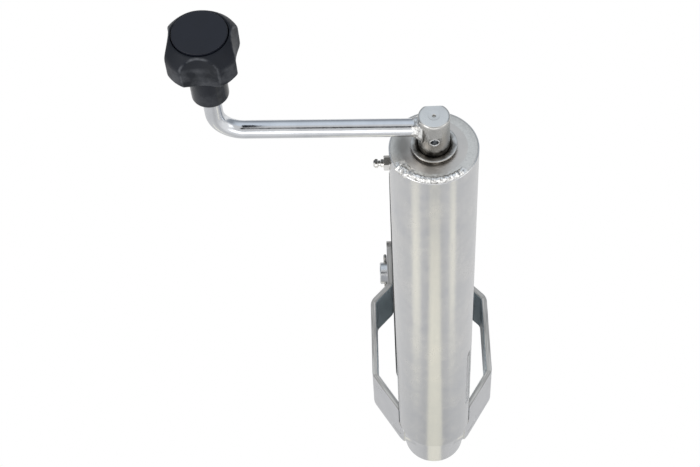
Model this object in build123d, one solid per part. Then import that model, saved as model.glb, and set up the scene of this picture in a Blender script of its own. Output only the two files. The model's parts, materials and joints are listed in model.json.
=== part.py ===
from build123d import *
from math import cos, pi, radians, sin
import os

os.makedirs("parts", exist_ok=True)

# Frame: millimetres, Z up the tube axis, origin at the centre of the outer tube's top face.
# The folded wheel lies toward +Y, the crank handle toward -X. Rest is wound in and folded.

# Fits and clearances
RUN = 0.06          # radial gap of a shaft that turns in its hole
GAP = 0.3           # gap between pieces that pass each other
SEAT = 0.02         # radial gap of pieces that are pressed or welded together

# Outer tube, its cap and the slot that keeps the nut from turning
TUBE_R, TUBE_WALL, TUBE_LEN = 30.0, 4.0, 390.0
TUBE_BORE = TUBE_R - TUBE_WALL
CAP_T, CAP_HOLE = 11.5, 15.8
CAP_TOP_R = TUBE_BORE - 3.4
GROOVE_DEEP, BEAD_R, BEAD_FROM, BEAD_TO = 3.4, 2.1, -151.0, -48.0
BEAD_RING = TUBE_R - 2.8
SLOT_RISE, SLOT_LEN, SLOT_W, SLOT_AZ = 48.0, 85.0, 6.0, -25.4
NIPPLE_Z, NIPPLE_THREAD, NIPPLE_OUT = -16.0, 4.0, 10.7
NIPPLE_AF, NIPPLE_HEX, NIPPLE_TURN = 9.0, 3.7, 18.4

# Collar bush, thrust bearing and spindle
COLLAR_R, COLLAR_TOP, RECESS_R = 15.5, 4.5, 12.25
JOURNAL_R, THREAD_R = 10.0, 9.75
RACE_R, RACE_T, BALL_R, BALLS = 17.5, 2.4, 2.6, 10
FLANGE_T, SPINDLE_TOP, SPINDLE_RISE = 5.0, 27.5, 6.0
END_WASHER_R, END_WASHER_T, END_PIN_R = 14.0, 3.0, 2.0

# Crank: boss, bent round bar, spring pin and turning knob
BOSS_R, BOSS_BOTTOM, BOSS_TOP, STUB_R = 10.5, 0.4, 34.2, 8.0
FRONT_FLAT, BACK_FLAT = 9.5, 7.7
BAR_R, BAR_Z, BAR_BEND, CRANK_R, CRANK_AZ = 6.0, 21.6, 18.0, 141.3, -1.9
PIN_R, PIN_BORE, PIN_Z = 3.5, 2.1, 18.3
KNOB_BOTTOM, HEAD_BOTTOM, KNOB_TOP, KNOB_R, SLEEVE_R, DISC_R = 59.5, 92.0, 119.0, 25.0, 12.0, 17.7
LOBES, SCALLOP_R, SCALLOP_DEEP = 4, 31.7, 5.5

# Nut, inner tube and swivel
NUT_OVER, NUT_SHOULDER, NUT_SPIGOT = 5.0, 20.0, 20.0
INNER_R, INNER_DROP = TUBE_BORE - 1.0, 40.0
INNER_BORE = INNER_R - TUBE_WALL
SPIGOT_R = INNER_BORE - 0.1
CLIP_DROP, CLIP_T, CLIP_WIDE = 11.0, 1.8, 0.95
SCREW_R = SLOT_W / 2 - 0.25
LINER_LEN, LINER_DROP = 25.0, 2.0

# Fork: two bent flat bars, folded back level at rest
BAR_W, BAR_T, BEND_R, FORK_DROP = 50.0, 5.0, 7.0, 7.0
PIVOT_R, PIVOT_DROP, NOSE_R, TIP_Y = 7.0, 18.0, 14.0, -10.5
NECK_X, BULGE_X, HUB_X = TUBE_R + 0.9, 51.7, 36.0
NECK_Y, BEND_Y = -2.3, (31.7, 105.5, 123.0)
NOTCH_Y, NOTCH_DROP = -0.5, 1.5
AXLE_Y, LEG_END, CORNER_R = 150.5, 25.5, 15.0
TONGUE_L, TONGUE_T, TONGUE_W, TONGUE_AZ = 20.6, 7.0, 12.0, -52.0

# Wheel and its axle, a round bar kept by a split pin at each end
WHEEL_R, TREAD_W, RIM_R, HUB_R, HUB_L, BUSH_R = 100.0, 63.0, 72.0, 23.0, 61.2, 15.0
RIBS, RIB_T, WEB_T = 8, 4.0, 6.0
AXLE_R, AXLE_OUT, SPLIT_R, SPLIT_TILT, EYE_R = 10.0, 6.8, 1.6, 35.0, 3.2

# Values that follow from the ones above
tube_end = -TUBE_LEN
slot_bottom = tube_end + SLOT_RISE
slot_top = slot_bottom + SLOT_LEN
race_top = -CAP_T
ball_z = race_top - RACE_T - BALL_R
lower_race = ball_z - BALL_R - 0.05
flange_top = lower_race - RACE_T
spindle_end = tube_end + SPINDLE_RISE
nut_top = slot_top + NUT_OVER
shoulder_z = nut_top - NUT_SHOULDER
clip_z = shoulder_z - CLIP_DROP
screw_z = slot_top - SCREW_R - 0.35
inner_top = shoulder_z - 2.6
inner_bottom = tube_end - INNER_DROP
fork_z = tube_end - FORK_DROP
pivot_z = tube_end - PIVOT_DROP
notch_z = tube_end - NOTCH_DROP
neck_slope = (BULGE_X - NECK_X) / (BEND_Y[0] - NECK_Y)
neck_face = BAR_T / 2 * ((1 + neck_slope ** 2) ** 0.5 - 1)      # how far a slanted face moves out
split_x = HUB_X + 0.2 + SPLIT_R
FAR = 2 * TUBE_LEN      # longer than any cut needs


def post(r, z0, z1):
    """Round bar on the Z axis."""
    return Pos(0, 0, (z0 + z1) / 2) * Cylinder(r, z1 - z0)


def ring(outer, inner, z0, z1):
    """Round tube on the Z axis."""
    return post(outer, z0, z1) - post(inner, z0 - 1, z1 + 1)


def bar_x(r, x0, x1, y=0.0, z=0.0):
    """Round bar along X."""
    return Pos((x0 + x1) / 2, y, z) * Rot(0, 90, 0) * Cylinder(r, x1 - x0)


def bar_y(r, y0, y1, z=0.0):
    """Round bar along Y through the Z axis."""
    return Pos(0, (y0 + y1) / 2, z) * Rot(90, 0, 0) * Cylinder(r, y1 - y0)


def hex_x(af, x0, x1, turn=0.0):
    """Six sided bar along X, turned from the place where one corner points toward -Y."""
    plane = Plane(origin=(x0, 0, 0), x_dir=(0, 1, 0), z_dir=(1, 0, 0))
    return Rot(turn, 0, 0) * extrude(plane * RegularPolygon(af / 2, 6, major_radius=False), x1 - x0)


def turned(points, axis=Axis.Z):
    """Solid of revolution from radius and height points."""
    return revolve(Plane.XZ * make_face(Polyline(*points, close=True)), axis)


def spoke(r, inner, outer, azimuth, z):
    """Round bar that points away from the Z axis."""
    plane = Plane(origin=(0, 0, z), z_dir=(cos(radians(azimuth)), sin(radians(azimuth)), 0))
    return extrude(plane.offset(inner) * Circle(r), outer - inner)


def outer_tube():
    """Zinc plated barrel with the long slot and the tapped nipple hole."""
    low = tube_end
    body = turned([(TUBE_BORE + 0.6, low), (TUBE_R - 0.6, low), (TUBE_R, low + 0.6), (TUBE_R, 0),
                   (TUBE_R - 0.4, 0), (TUBE_BORE, -GROOVE_DEEP), (TUBE_BORE, low + 0.6)])
    az = radians(SLOT_AZ)
    plane = Plane(origin=(0, 0, (slot_top + slot_bottom) / 2), x_dir=(0, 0, 1),
                  z_dir=(cos(az), sin(az), 0))
    slot = extrude(plane * SlotOverall(SLOT_LEN, SLOT_W), 2 * TUBE_R)
    return body - slot - bar_x(NIPPLE_THREAD, -TUBE_R - 2, 0, z=NIPPLE_Z)


def cap_weld():
    """Weld between cap and tube: a low ring all round and the raised bead in front."""
    edge = CAP_TOP_R + 0.3
    body = turned([(edge, -0.1), (TUBE_BORE - 0.1, -GROOVE_DEEP + 0.1),
                   (TUBE_BORE + 0.1, -GROOVE_DEEP + 0.12), (TUBE_R - 0.6, -0.1),
                   (TUBE_R - 1.0, 0.3), (edge + 1, 0.3)])
    start = Rot(0, 0, BEAD_FROM) * Pos(BEAD_RING, 0, 0.1) * Rot(90, 0, 0) * Circle(BEAD_R)
    bead = revolve(start, Axis.Z, BEAD_TO - BEAD_FROM)
    for azimuth in (BEAD_FROM, BEAD_TO):
        bead += Rot(0, 0, azimuth) * Pos(BEAD_RING, 0, 0.1) * Sphere(BEAD_R)
    return body + (bead - post(TUBE_R, -CAP_T, 0))


def top_cap():
    """Round plate welded into the top of the tube."""
    r = TUBE_BORE - SEAT
    return turned([(CAP_HOLE, race_top), (r, race_top), (r, -GROOVE_DEEP),
                   (CAP_TOP_R, 0.2), (CAP_TOP_R - 0.6, 0.7), (CAP_HOLE + 0.5, 0.7),
                   (CAP_HOLE, 0.2)])


def collar_bush():
    """Bush for the spindle, its rim stands round the greased foot of the crank boss."""
    bore, spigot = JOURNAL_R + RUN, CAP_HOLE - SEAT
    return turned([(bore, race_top), (spigot, race_top), (spigot, -3.0), (COLLAR_R - 0.6, -2.6),
                   (COLLAR_R - 0.6, 0.5), (COLLAR_R, 1.2), (COLLAR_R, COLLAR_TOP - 1.2),
                   (COLLAR_R - 1.2, COLLAR_TOP), (RECESS_R + 0.6, COLLAR_TOP),
                   (RECESS_R, COLLAR_TOP - 0.6), (RECESS_R, 0), (bore, 0)])


def upper_race():
    """Washer of the thrust bearing that lies under the cap."""
    return ring(RACE_R, JOURNAL_R + GAP, race_top - RACE_T, race_top - SEAT)


def lower_washer():
    """Washer of the thrust bearing that turns with the spindle."""
    return ring(RACE_R, JOURNAL_R + SEAT, flange_top, lower_race)


def ball_set():
    """Balls of the thrust bearing in their flat cage."""
    mid = (RACE_R + JOURNAL_R) / 2
    body = ring(mid + 2.0, mid - 2.0, ball_z - 0.6, ball_z + 0.6)
    for n in range(BALLS):
        body += Rot(0, 0, n * 360 / BALLS) * Pos(mid, 0, ball_z) * Sphere(BALL_R)
    return body


def grease_nipple():
    """Hexagon nipple with a round head that feeds the thrust bearing."""
    seat, tip = TUBE_R, TUBE_R + NIPPLE_OUT
    body = bar_x(NIPPLE_THREAD - SEAT, -seat, -TUBE_BORE)
    body += hex_x(NIPPLE_AF, -seat - NIPPLE_HEX, -seat, NIPPLE_TURN)
    neck = Plane.XZ * make_face(Polyline((0, seat), (2.8, seat), (2.8, seat + 5.6), (2.0, seat + 6.0),
                                         (2.0, seat + 7.2), (3.0, tip - 3.2), (3.0, tip - 1.4),
                                         (1.6, tip), (0, tip), close=True))
    return Pos(0, 0, NIPPLE_Z) * (body + Rot(0, -90, 0) * revolve(neck, Axis.Z))


def spindle():
    """Screw spindle with its thrust flange, journal and drilled top stub."""
    flange_r = RACE_R - 0.3
    body = turned([(0, spindle_end), (5.5, spindle_end), (6, spindle_end + 0.5),
                   (6, spindle_end + 10), (THREAD_R - 1.5, spindle_end + 10),
                   (THREAD_R, spindle_end + 11.5), (THREAD_R, flange_top - FLANGE_T),
                   (flange_r, flange_top - FLANGE_T), (flange_r, flange_top),
                   (JOURNAL_R, flange_top), (JOURNAL_R, BOSS_BOTTOM - 0.3),
                   (STUB_R - SEAT, BOSS_BOTTOM - 0.3), (STUB_R - SEAT, SPINDLE_TOP - 1),
                   (STUB_R - 1, SPINDLE_TOP), (0, SPINDLE_TOP)])
    body -= bar_y(PIN_R, -20, 20, PIN_Z)
    return body - bar_x(END_PIN_R, -20, 20, z=spindle_end + 4)


def end_washer():
    """Washer that stops the nut from running off the spindle."""
    top = spindle_end + 10
    return ring(END_WASHER_R, 6 + SEAT, top - END_WASHER_T, top)


def end_pin():
    """Cross pin under the end washer."""
    return bar_x(END_PIN_R - SEAT, -11, 11, z=spindle_end + 4)


def crank_boss():
    """Crank boss with a blind bore, a flat front and back and a centre mark on top."""
    body = turned([(0, BOSS_BOTTOM), (BOSS_R, BOSS_BOTTOM), (BOSS_R, BOSS_TOP - 1.4),
                   (BOSS_R - 1.4, BOSS_TOP), (3.7, BOSS_TOP), (1.2, BOSS_TOP - 2.2),
                   (0, BOSS_TOP - 2.2)])
    roof = SPINDLE_TOP + 0.3
    wide = 3 * BOSS_R
    body -= Pos(0, BACK_FLAT, roof + 0.8) * Box(wide, wide, wide, align=(Align.CENTER, Align.MIN, Align.MIN))
    body -= Pos(0, -FRONT_FLAT, 12) * Box(wide, wide, 18, align=(Align.CENTER, Align.MAX, Align.MIN))
    body -= post(STUB_R, BOSS_BOTTOM - 1, roof)
    return body - bar_y(PIN_R, -20, 20, PIN_Z)


def crank_bar():
    """Round bar bent up at its end, the handle arm of the crank."""
    start, corner, top = -BOSS_R + 0.6, -CRANK_R, KNOB_TOP - 9.0
    path = Polyline((start, 0, BAR_Z), (corner, 0, BAR_Z), (corner, 0, top))
    path = fillet(path.vertices().sort_by(Axis.X)[:2].sort_by(Axis.Z)[:1], BAR_BEND)
    section = Plane(origin=(start, 0, BAR_Z), z_dir=(-1, 0, 0)) * Circle(BAR_R)
    body = sweep(section, path)
    body = chamfer(body.edges().filter_by(GeomType.CIRCLE).sort_by(Axis.Z)[-1:], 0.8)
    body -= post(BOSS_R + SEAT, 0, FAR)
    return Rot(0, 0, CRANK_AZ) * body


def crank_weld():
    """Fillet weld between the bar and the boss."""
    cone = turned([(0, 8.5), (10.2, 8.5), (9.2, 11.0), (7.6, 12.6), (6.3, 14.6), (0, 14.6)])
    body = Pos(0, 0, BAR_Z) * Rot(0, -90, 0) * cone
    body -= post(BOSS_R + SEAT, 0, FAR) + bar_x(BAR_R + SEAT, -FAR, 0, z=BAR_Z)
    return Rot(0, 0, CRANK_AZ) * body


def spring_pin():
    """Slotted spring pin through boss and spindle."""
    body = bar_y(PIN_R - SEAT, -BOSS_R + 0.9, BOSS_R - 0.9, PIN_Z)
    body -= bar_y(PIN_BORE, -20, 20, PIN_Z) + Pos(0, 0, PIN_Z + 3) * Box(1.0, 40, 6)
    return body


def at_knob(body):
    """Moves a piece from the Z axis to the handle end of the crank."""
    return Rot(0, 0, CRANK_AZ) * Pos(-CRANK_R, 0, 0) * body


def knob():
    """Four lobed knob on a sleeve, bored for the bar, open at the top for its cap."""
    top = KNOB_TOP - 1.5
    shape = turned([(0, KNOB_BOTTOM), (SLEEVE_R - 1, KNOB_BOTTOM), (SLEEVE_R, KNOB_BOTTOM + 1),
                    (SLEEVE_R, HEAD_BOTTOM - 4), (SLEEVE_R + 4, HEAD_BOTTOM), (KNOB_R - 2, HEAD_BOTTOM),
                    (KNOB_R, HEAD_BOTTOM + 2), (KNOB_R, KNOB_TOP - 10), (KNOB_R - 1.2, KNOB_TOP - 7.2),
                    (KNOB_R - 4, KNOB_TOP - 4.2), (DISC_R + 1.2, top), (0, top)])
    outline = Circle(KNOB_R)
    for n in range(LOBES):
        away = KNOB_R - SCALLOP_DEEP + SCALLOP_R
        outline -= Rot(0, 0, 360 / LOBES * n) * Pos(away, 0) * Circle(SCALLOP_R)
    outline = fillet(outline.vertices(), 2.0)
    body = shape & extrude(Pos(0, 0, KNOB_BOTTOM - 1) * outline, 2 * KNOB_TOP)
    body -= post(DISC_R + 0.1, KNOB_TOP - 6.0, KNOB_TOP)
    body -= post(BAR_R + RUN, KNOB_BOTTOM - 1, top) + post(11.0, KNOB_TOP - 13.5, top)
    return at_knob(body)


def knob_cap():
    """Plain round disc that closes the knob and rests on the end of the bar."""
    seat, foot = KNOB_TOP - 6.0, KNOB_TOP - 9.0 + GAP
    return at_knob(turned([(0, foot), (8.0, foot), (8.0, seat), (DISC_R, seat),
                           (DISC_R, KNOB_TOP - 1.0), (DISC_R - 1.0, KNOB_TOP), (0, KNOB_TOP)]))


def knob_clip():
    """Push-on clip that keeps the knob on the bar."""
    low = KNOB_TOP - 13.5 + GAP
    return at_knob(ring(9.5, BAR_R + SEAT, low, low + 1.6))


def spindle_nut():
    """Nut that slides in the outer tube and carries the inner tube on its spigot."""
    low = shoulder_z - NUT_SPIGOT
    body = ring(TUBE_BORE - GAP, THREAD_R + 0.1, shoulder_z, nut_top)
    body += ring(SPIGOT_R, THREAD_R + 0.1, low, shoulder_z)
    body -= ring(SPIGOT_R + 2, SPIGOT_R - 1.4, clip_z - CLIP_T / 2, clip_z + CLIP_T / 2)
    return body - spoke(SCREW_R, 15, 40, SLOT_AZ, screw_z)


def guide_screw():
    """Dog point screw in the nut that runs in the slot of the outer tube."""
    return spoke(SCREW_R - SEAT, 15.2, TUBE_R - 0.6, SLOT_AZ, screw_z)


def swivel_clip():
    """Snap ring that hangs the inner tube on the nut."""
    body = ring(INNER_BORE + CLIP_WIDE, SPIGOT_R - 1.35, clip_z - 0.85, clip_z + 0.85)
    return body - Pos(0, INNER_BORE, clip_z) * Box(9, 10, 4)


def swivel_washer():
    """Thrust washer between the nut and the end of the inner tube."""
    return ring(INNER_R + 0.4, SPIGOT_R + 0.1, shoulder_z - 2.3, shoulder_z - 0.02)


def inner_tube():
    """Sliding tube that swivels on the nut and carries the fork pivot."""
    body = ring(INNER_R, INNER_BORE, inner_bottom, inner_top)
    body = chamfer(body.edges().filter_by(GeomType.CIRCLE).sort_by(Axis.Z)[:2], 0.8)
    groove = CLIP_T / 2 + 0.25
    body -= ring(INNER_BORE + CLIP_WIDE + GAP, INNER_BORE - 1, clip_z - groove, clip_z + groove)
    return body - bar_x(PIVOT_R + 2, -FAR, FAR, z=pivot_z)


def pivot_bushes():
    """Pair of plain bushes for the fork pivot, flush with the inner tube."""
    body = bar_x(PIVOT_R + 2 - SEAT, -FAR, FAR, z=pivot_z)
    body -= bar_x(PIVOT_R + RUN, -2 * FAR, 2 * FAR, z=pivot_z)
    return body & ring(INNER_R - 0.1, INNER_BORE - 0.2, pivot_z - 12, pivot_z + 12)


def guide_liner():
    """Thin plastic liner in the mouth of the outer tube."""
    low = tube_end + LINER_DROP
    return ring(TUBE_BORE - SEAT, INNER_R + 0.1, low, low + LINER_LEN)


def leg_plan():
    """Plan of the right leg: a flat bar of even thickness with three rounded bends."""
    neck, bulge, hub = (x - BAR_T / 2 for x in (NECK_X, BULGE_X, HUB_X))
    near, far = -2 * NOSE_R, AXLE_Y + LEG_END
    middle = Polyline((neck + neck_slope * (near - NECK_Y), near), (bulge, BEND_Y[0]),
                      (bulge, BEND_Y[1]), (hub, BEND_Y[2]), (hub, far))
    bends = middle.vertices().sort_by(Axis.Y)[1:4]
    return trace(fillet(bends, BEND_R + BAR_T / 2), BAR_T)


def fork_leg():
    """Right leg: bent out round the wheel and run out beside the inner tube, round at its ends."""
    body = extrude(Pos(0, 0, fork_z - BAR_W / 2) * leg_plan(), BAR_W)
    far = Pos(AXLE_Y + LEG_END, 0) * Rectangle(AXLE_Y, BAR_W, align=(Align.MAX, Align.CENTER))
    profile = fillet(far.vertices().sort_by(Axis.X)[2:], CORNER_R)
    profile += Rectangle(AXLE_Y, BAR_W, align=(Align.MIN, Align.CENTER))
    profile += Pos(0, pivot_z - fork_z) * Circle(NOSE_R)
    profile -= Pos(NOTCH_Y, notch_z - fork_z) * Rectangle(BAR_W, BAR_W, align=(Align.MAX, Align.MIN))
    profile -= Pos(TIP_Y, 0) * Rectangle(BAR_W, 2 * BAR_W, align=(Align.MAX, Align.CENTER))
    side = Plane(origin=(0, 0, fork_z), x_dir=(0, 1, 0), z_dir=(1, 0, 0))
    body &= extrude(side * profile, 2 * BULGE_X)
    body -= Pos(0, 0, fork_z) * Box(2 * (INNER_R + GAP), 4 * NOSE_R, 2 * BAR_W)
    body -= post(TUBE_R + 0.8, notch_z, 0) + bar_x(PIVOT_R, 0, FAR, z=pivot_z)
    return body - bar_x(AXLE_R, 0, FAR, AXLE_Y, fork_z)


def pivot_pin():
    """Pivot pin welded into both legs, its ends dressed flush with their slanted faces."""
    y = PIVOT_R + 1
    near, far = (NECK_X + neck_face + neck_slope * (end - NECK_Y) - 0.1 for end in (-y, y))
    between = make_face(Polyline((-near, -y), (near, -y), (far, y), (-far, y), close=True))
    ends = extrude(Pos(0, 0, pivot_z - y) * between, 2 * y)
    return bar_x(PIVOT_R - SEAT, -FAR, FAR, z=pivot_z) & ends


def stop_tongue():
    """Tongue on the pivot pin that meets the tube wall when the fork is fully down."""
    body = Pos(0, TONGUE_L / 2, 0) * Box(TONGUE_W, TONGUE_L, TONGUE_T)
    body -= bar_x(PIVOT_R, -20, 20)
    return Pos(0, 0, pivot_z) * Rot(TONGUE_AZ, 0, 0) * body


def cross_hole(side):
    """Axis of a split pin: across the axle, leaning back from the vertical, its eye on top."""
    return Pos(side * split_x, AXLE_Y, fork_z) * Rot(SPLIT_TILT - 90, 0, 0)


def axle():
    """Round axle through both legs, drilled for a split pin outside each of them."""
    reach = HUB_X + AXLE_OUT
    body = bar_x(AXLE_R - SEAT, -reach, reach, AXLE_Y, fork_z)
    body = chamfer(body.edges().filter_by(GeomType.CIRCLE), 0.8)
    for side in (-1, 1):
        body -= cross_hole(side) * post(SPLIT_R + 0.1, -FAR, FAR)
    return body


def split_pins():
    """Split pin at each end of the axle: an eye above, the legs bent over below."""
    body = None
    for side in (-1, 1):
        eye = Pos(0, 0, AXLE_R + EYE_R + 0.4) * Rot(0, 90, 0) * Torus(EYE_R - 0.8, 0.8)
        one = post(SPLIT_R, -AXLE_R - 1.0, AXLE_R + 1.4) + eye
        for way in (-1, 1):
            one += Pos(0, 0, -AXLE_R - 1.4) * Rot(way * 62, 0, 0) * Pos(0, 0, -2.2) * Cylinder(0.9, 4.6)
        body = cross_hole(side) * one if body is None else body + cross_hole(side) * one
    return body


def on_axle(points):
    """Turned piece placed on the wheel axle from radius and width points."""
    return Pos(0, AXLE_Y, fork_z) * Rot(0, 90, 0) * turned(points)


def tyre():
    """Solid rubber tyre with rounded shoulders."""
    w, low = TREAD_W / 2, RIM_R
    return on_axle([(low, -w + 4), (low + 6, -w), (WHEEL_R - 9, -w), (WHEEL_R - 3, -w + 3),
                    (WHEEL_R - 0.6, -w + 9), (WHEEL_R, -w / 3), (WHEEL_R, w / 3),
                    (WHEEL_R - 0.6, w - 9), (WHEEL_R - 3, w - 3), (WHEEL_R - 9, w),
                    (low + 6, w), (low, w - 4)])


def wheel_rim():
    """Moulded rim with hub, web and ribs on both sides."""
    w, h, t = TREAD_W / 2 - 4.5, HUB_L / 2, WEB_T / 2
    r, low = RIM_R - SEAT, RIM_R - 7
    body = on_axle([(BUSH_R, -h), (HUB_R, -h), (HUB_R, -t), (low, -t), (low, -w), (r, -w),
                    (r, w), (low, w), (low, t), (HUB_R, t), (HUB_R, h), (BUSH_R, h)])
    for n in range(RIBS):
        rib = Pos(0, (HUB_R + low) / 2, 0) * Box(2 * w - 6, low - HUB_R + 1.5, RIB_T)
        body += Pos(0, AXLE_Y, fork_z) * Rot(n * 360 / RIBS, 0, 0) * rib
    return body


def hub_bushes():
    """Pair of plain bushes pressed into the hub ends."""
    h, deep = HUB_L / 2, 16.0
    one = [(AXLE_R + RUN, h - deep), (BUSH_R - SEAT, h - deep), (BUSH_R - SEAT, h),
           (AXLE_R + RUN, h)]
    return on_axle(one) + on_axle([(r, -z) for r, z in one])


parts = {
    "outer_tube": outer_tube(), "top_cap": top_cap(), "cap_weld": cap_weld(),
    "collar_bush": collar_bush(), "upper_race": upper_race(), "ball_set": ball_set(),
    "grease_nipple": grease_nipple(), "guide_liner": guide_liner(),
    "lower_race": lower_washer(), "spindle": spindle(), "end_washer": end_washer(),
    "end_pin": end_pin(), "crank_boss": crank_boss(), "crank_bar": crank_bar(),
    "crank_weld": crank_weld(), "spring_pin": spring_pin(), "knob": knob(),
    "knob_cap": knob_cap(), "knob_clip": knob_clip(), "spindle_nut": spindle_nut(),
    "guide_screw": guide_screw(), "swivel_clip": swivel_clip(),
    "swivel_washer": swivel_washer(), "inner_tube": inner_tube(),
    "pivot_bushes": pivot_bushes(), "fork_leg_left": mirror(fork_leg(), Plane.YZ),
    "fork_leg_right": fork_leg(), "pivot_pin": pivot_pin(), "stop_tongue": stop_tongue(),
    "axle": axle(), "split_pins": split_pins(), "tyre": tyre(), "wheel_rim": wheel_rim(),
    "hub_bushes": hub_bushes(),
}
for name, body in parts.items():
    export_step(body, f"parts/{name}.step")
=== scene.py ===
import bpy, bmesh, json
from math import ceil, cos, hypot, pi, radians, sin, sqrt, tan, tau
from mathutils import Matrix, Vector, noise as field

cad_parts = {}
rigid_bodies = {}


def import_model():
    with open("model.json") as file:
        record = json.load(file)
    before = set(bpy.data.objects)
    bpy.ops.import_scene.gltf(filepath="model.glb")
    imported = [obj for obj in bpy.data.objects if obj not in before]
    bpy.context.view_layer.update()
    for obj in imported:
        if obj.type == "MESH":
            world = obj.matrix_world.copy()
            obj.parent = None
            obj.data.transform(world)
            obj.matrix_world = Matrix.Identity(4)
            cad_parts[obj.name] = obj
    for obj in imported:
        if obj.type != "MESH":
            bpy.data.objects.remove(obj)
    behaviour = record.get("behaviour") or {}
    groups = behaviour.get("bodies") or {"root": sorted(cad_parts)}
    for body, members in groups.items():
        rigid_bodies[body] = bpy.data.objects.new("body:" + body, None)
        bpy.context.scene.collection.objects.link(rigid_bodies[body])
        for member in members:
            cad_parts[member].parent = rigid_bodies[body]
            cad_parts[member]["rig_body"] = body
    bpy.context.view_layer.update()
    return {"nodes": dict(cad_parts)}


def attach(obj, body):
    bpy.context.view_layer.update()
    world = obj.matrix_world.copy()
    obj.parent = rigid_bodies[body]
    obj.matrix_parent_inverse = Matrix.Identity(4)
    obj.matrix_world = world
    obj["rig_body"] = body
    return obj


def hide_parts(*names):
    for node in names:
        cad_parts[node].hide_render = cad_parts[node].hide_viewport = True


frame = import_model()


# Barrel
# The outer tube is cold drawn steel tube of 60 mm, zinc plated after welding. A slot for the
# nut's screw is milled along its lower end, and a tapped hole takes the grease nipple.

def add(tree, kind, values=None, **settings):
    """Adds a node, sets its sockets and joins those that are given another node's socket."""
    node = tree.nodes.new(kind if kind.startswith("Geometry") else "ShaderNode" + kind)
    for key, value in settings.items():
        setattr(node, key, value)
    for key, value in (values or {}).items():
        if isinstance(value, bpy.types.NodeSocket):
            tree.links.new(value, node.inputs[key])
        else:
            node.inputs[key].default_value = value
    return node


def tree_of(*values):
    """The node tree of the first socket among some values."""
    return next(value for value in values if isinstance(value, bpy.types.NodeSocket)).id_data


def math(how, *values):
    """One Math node on numbers or sockets."""
    return add(tree_of(*values), "Math", dict(enumerate(values)), operation=how).outputs[0]


def times(first, *others):
    """Product of numbers or sockets."""
    for other in others:
        first = math("MULTIPLY", first, other)
    return first


def vector_math(how, *values):
    """Outputs of one Vector Math node."""
    return add(tree_of(*values), "VectorMath", dict(enumerate(values)), operation=how).outputs


def parts(whole):
    """The X, Y and Z sockets of a vector."""
    return add(whole.id_data, "SeparateXYZ", {0: whole}).outputs


def vector(x=0.0, y=0.0, z=0.0):
    """Vector from numbers or sockets."""
    return add(tree_of(x, y, z), "CombineXYZ", {0: x, 1: y, 2: z}).outputs[0]


def from_axis(place):
    """How far a place is from the Z axis."""
    flat = parts(place)
    return vector_math("LENGTH", vector(flat["X"], flat["Y"]))["Value"]


def span(value, low, high, to_low=0.0, to_high=1.0, smooth=False):
    """Maps a value from one range to another and keeps it inside."""
    return add(value.id_data, "MapRange", {"Value": value, "From Min": low, "From Max": high,
                                           "To Min": to_low, "To Max": to_high},
               interpolation_type="SMOOTHSTEP" if smooth else "LINEAR").outputs["Result"]


def mix(factor, one, two):
    """Number between two others."""
    return add(factor.id_data, "Mix", {"Factor": factor, "A": one, "B": two}).outputs[0]


def blend_colour(factor, one, two):
    """Colour between two others."""
    one, two = ((*c, 1) if isinstance(c, tuple) else c for c in (one, two))
    return add(factor.id_data, "Mix", {0: factor, 6: one, 7: two}, data_type="RGBA").outputs[2]


def noise(place, scale, detail=3.0, stretch=None, rough=0.55):
    """Fractal noise in metres, drawn out along an axis by a stretch."""
    if stretch:
        place = add(place.id_data, "Mapping", {"Vector": place, "Scale": stretch}).outputs[0]
    return add(place.id_data, "TexNoise", {"Vector": place, "Scale": scale, "Detail": detail,
                                           "Roughness": rough}).outputs["Fac"]


def blank_material(name):
    """Empty node material, its tree and the socket of its Object coordinates."""
    mat = bpy.data.materials.new(name)
    mat.use_nodes = True
    mat.node_tree.nodes.clear()
    return mat, mat.node_tree, add(mat.node_tree, "TexCoord").outputs["Object"]


def coat(colour, shine, *grains, metal=1.0, specular=0.5):
    """Ends a material with a surface over grains, each a height, a strength and a depth in metres."""
    tree = colour.id_data
    skin = add(tree, "BsdfPrincipled", {"Base Color": colour, "Metallic": metal, "Roughness": shine,
                                        "Specular IOR Level": specular})
    under = {}
    for height, strength, depth in grains:
        bump = add(tree, "Bump", {"Height": height, "Strength": strength, "Distance": depth, **under})
        under = {"Normal": bump.outputs[0]}
    tree.links.new(under["Normal"], skin.inputs["Normal"])
    add(tree, "OutputMaterial", {"Surface": skin.outputs[0]})


def plated_steel(name, light, dark, rough, streaks=0.4, grain=0.25, draw=(1, 1, 0.02), foot=None,
                 painted_slot_highlight=None):
    """Zinc plate: cloudy passivation, fine grain and draw marks along one axis. It can turn greyer
    between two heights in metres, and take a painted highlight, near white, inside a radius between two others."""
    mat, tree, place = blank_material(name)
    cloud = noise(place, 55, 6, (1, 1, 0.7), 0.62)
    marks = noise(place, 420, 3, draw)
    fine = noise(place, 1500, 2)
    tone = math("ADD", cloud, mix(marks, 0.5 - streaks, 0.5 + streaks))
    colour = blend_colour(span(tone, 0.72, 1.28), dark, light)
    height = parts(place)["Z"]
    metal = 1.0
    if foot:
        colour = blend_colour(span(height, *foot, 0.0, 0.30, True), colour, (0.30, 0.32, 0.35))
    # Painted highlight: the slot's flanks, and the bore seen through the slot, turn near white and not metallic.
    if painted_slot_highlight:
        radius, low, high = painted_slot_highlight
        zone = times(span(from_axis(place), radius, radius + 0.0002, 1.0, 0.0),
                     span(height, low, low + 0.001), span(height, high, high + 0.001, 1.0, 0.0))
        colour = blend_colour(zone, colour, (0.95, 0.96, 0.97))
        metal = mix(zone, 1.0, 0.0)
    shine = math("ADD", span(cloud, 0.3, 0.7, rough - 0.05, rough + 0.07),
                 span(fine, 0.3, 0.7, -0.06, 0.06))
    coat(colour, shine, (fine, grain, 0.00012), (marks, streaks, 0.0001), metal=metal)
    return mat


MM = 0.001


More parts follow.
